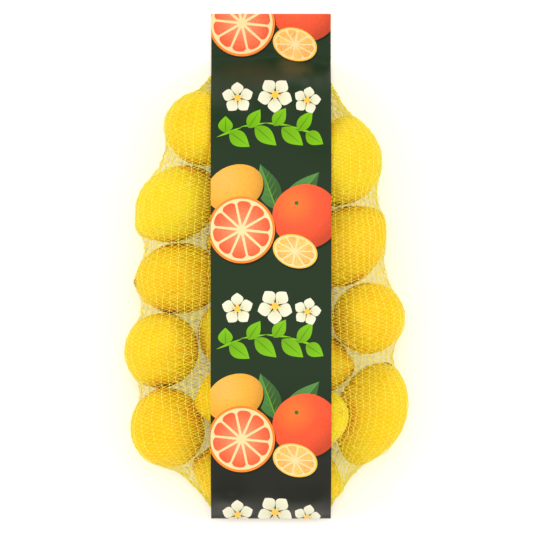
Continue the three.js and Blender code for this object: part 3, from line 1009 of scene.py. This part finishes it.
# %% Ink, thickness and rim
GREY_STARTS_Y, GREY_REACH = -80, 70  # where the ground starts to turn grey, and over what length
corner_places = sheet[triangles]
middle = corner_places.mean(1)
low_end = np.clip((GREY_STARTS_Y - corner_places[..., 1]) / GREY_REACH, 0, 1)[..., None]
ink = DEEP_GREEN * (1 - low_end) + LOW_GREEN * low_end
grain_of = np.zeros(len(triangles))
for outline, paint, grain_strength in shapes:
    covered = inside(middle, outline)
    ink[covered] = paint(corner_places[covered].reshape(-1, 2)).reshape(-1, 3, 3)
    grain_of[covered] = grain_strength


def closed_film(name, flat_places, faces, top, thickness, material, slot, **colours):
    """A film of even thickness over a flat sheet, closed round its edge.

    The underside and the edge take one colour, that of the sheet's first corner.
    """
    x, y = flat_places.T
    upper = np.stack([x, y, top(x, y)], axis=1)
    lower = upper - (0, 0, thickness)
    count = len(upper)
    edges = np.concatenate([faces[:, [k, (k + 1) % faces.shape[1]]] for k in range(faces.shape[1])])
    known = {tuple(edge) for edge in edges.tolist()}
    rim = np.array([edge for edge in edges.tolist() if (edge[1], edge[0]) not in known])
    wall = np.stack([rim[:, 0], rim[:, 0] + count, rim[:, 1] + count, rim[:, 1]], axis=1)
    parts = [faces, faces[:, ::-1] + count, wall]
    if colours:
        under = {title: values[0] for title, values in colours.items()}
        rest = faces.size + wall.size
        colours = {
            title: np.concatenate([values, np.broadcast_to(under[title], (rest, 3))])
            for title, values in colours.items()
        }
    points = np.concatenate([upper, lower])
    return build_piece(name, points, parts, material, slot, crease=50, **colours)


front_film = closed_film(
    "front_film",
    sheet,
    triangles,
    film_height,
    FRONT_THICKNESS,
    printed,
    "printed_film",
    ink=ink.reshape(-1, 3),
    grain=np.repeat(grain_of, 3)[:, None] * np.ones(3),
)
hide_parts("front_band")

# %% [markdown]
# ## The plain film
# The back film carries no print, so a plain grid of squares is enough. It lies flat and curls
# up at the lower end to meet the weld, and it is closed with the same helper.

# %% Cut the plain back film
BACK_ACROSS, BACK_ALONG = 18, 152  # squares
places_x = np.linspace(-half_width, half_width, BACK_ACROSS + 1)
places_y = np.linspace(-half_length, half_length, BACK_ALONG + 1)
grid_x, grid_y = np.meshgrid(places_x, places_y)
number = np.arange(grid_x.size).reshape(grid_x.shape)
squares = np.stack([number[:-1, :-1], number[:-1, 1:], number[1:, 1:], number[1:, :-1]], axis=-1)
plain_film = closed_film(
    "back_film",
    np.stack([grid_x.ravel(), grid_y.ravel()], axis=1),
    squares.reshape(-1, 4),
    lambda x, y: back_film_top(y),
    BACK_THICKNESS,
    plain,
    "plain_film",
)
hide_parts("back_band")

# %% [markdown]
# ## The floor
# The pack lies on a pale light table. The table glows a little, so that light also comes up
# through the open net, and its white leans to blue, which takes the warmth of the sky out of
# it again. One square is enough, as it is only looked at from above.

# %% The floor
FLOOR_REACH = 4.0  # metres each way
FLOOR_GAP = 0.3 * MM
TABLE_WHITE, TABLE_GLOW, GLOW_STRENGTH = (0.86, 0.9, 0.98, 1), (1, 0.92, 0.78, 1), 0.26
floor_mesh = bpy.data.meshes.new("floor")
floor_corners = [(FLOOR_REACH * a, FLOOR_REACH * b, 0) for a, b in ((-1, -1), (1, -1), (1, 1), (-1, 1))]
floor_mesh.from_pydata(floor_corners, [], [(0, 1, 2, 3)])
floor = bpy.data.objects.new("floor", floor_mesh)
floor.location.z = -FLOOR_GAP
bpy.context.scene.collection.objects.link(floor)
floor_paint, floor_shader = new_material("pale_floor", 0.9, Specular_IOR_Level=0.1)
floor_shader.inputs["Base Color"].default_value = TABLE_WHITE
floor_shader.inputs["Emission Color"].default_value = TABLE_GLOW
floor_shader.inputs["Emission Strength"].default_value = GLOW_STRENGTH
floor_mesh.materials.append(floor_paint)
print("floor", 2 * FLOOR_REACH, "m wide")

# %% [markdown]
# ## Light
# A warm soft sky and five wide soft lamps give even light with weak shadows. The lamps stand
# on all sides, the strongest at the left, so that the fruit still looks round. A small strong
# lamp would cast the shadow of every yarn.

# %% Light
SKY_COLOUR, SKY_STRENGTH = (1.0, 0.85, 0.64, 1), 0.82
world = bpy.data.worlds.new("studio")
bpy.context.scene.world = world
world.use_nodes = True
sky = world.node_tree.nodes["Background"]
sky.inputs["Color"].default_value = SKY_COLOUR
sky.inputs["Strength"].default_value = SKY_STRENGTH


def soft_lamp(name, spot, size, power):
    """A round lamp at a spot in metres, aimed at the middle of the pack."""
    lamp = bpy.data.lights.new(name, "AREA")
    lamp.shape = "DISK"
    lamp.size = size
    lamp.energy = power
    holder = bpy.data.objects.new(name, lamp)
    holder.location = spot
    aim = -np.array(spot)
    holder.rotation_euler = (
        math.acos(-aim[2] / np.linalg.norm(aim)),
        0,
        math.atan2(aim[1], aim[0]) - math.pi / 2,
    )
    bpy.context.scene.collection.objects.link(holder)
    print(name, power, "watts")


soft_lamp("left_lamp", (-1.45, 0, 1.1), 0.9, 8)
soft_lamp("right_lamp", (1.45, 0, 1.1), 0.9, 7.5)
soft_lamp("upper_lamp", (0, 1.6, 0.8), 0.9, 4)
soft_lamp("lower_lamp", (0, -1.6, 0.8), 0.9, 3.5)
soft_lamp("high_lamp", (0, 0.3, 1.9), 0.7, 4.5)
bpy.context.scene.view_settings.view_transform = "Standard"

# %% [markdown]
# ## Camera
# The camera is far away with a long lens and looks straight down, so that what is near it
# looks no bigger than the rest. An orthographic camera would do nearly the same.

# %% The camera
PICTURE = 533  # pixels a side
PIXEL = 0.75 * MM  # what a pixel takes in at the height of the fruit
BAND_MIDDLE = (271, 266)  # the pixel on which the middle of the band falls
DISTANCE, FRUIT_HEIGHT = 6.0, 0.03  # metres
lens = bpy.data.cameras.new("camera")
lens.sensor_width = 36
lens.lens = lens.sensor_width * (DISTANCE - FRUIT_HEIGHT) / (PICTURE * PIXEL)
lens.clip_end = 50
camera = bpy.data.objects.new("camera", lens)
camera.location = (
    HOME[0] + (PICTURE / 2 - BAND_MIDDLE[0]) * PIXEL,
    HOME[1] - (PICTURE / 2 - BAND_MIDDLE[1]) * PIXEL,
    DISTANCE,
)
bpy.context.scene.collection.objects.link(camera)
bpy.context.scene.camera = camera
print("lens", round(lens.lens), "mm")
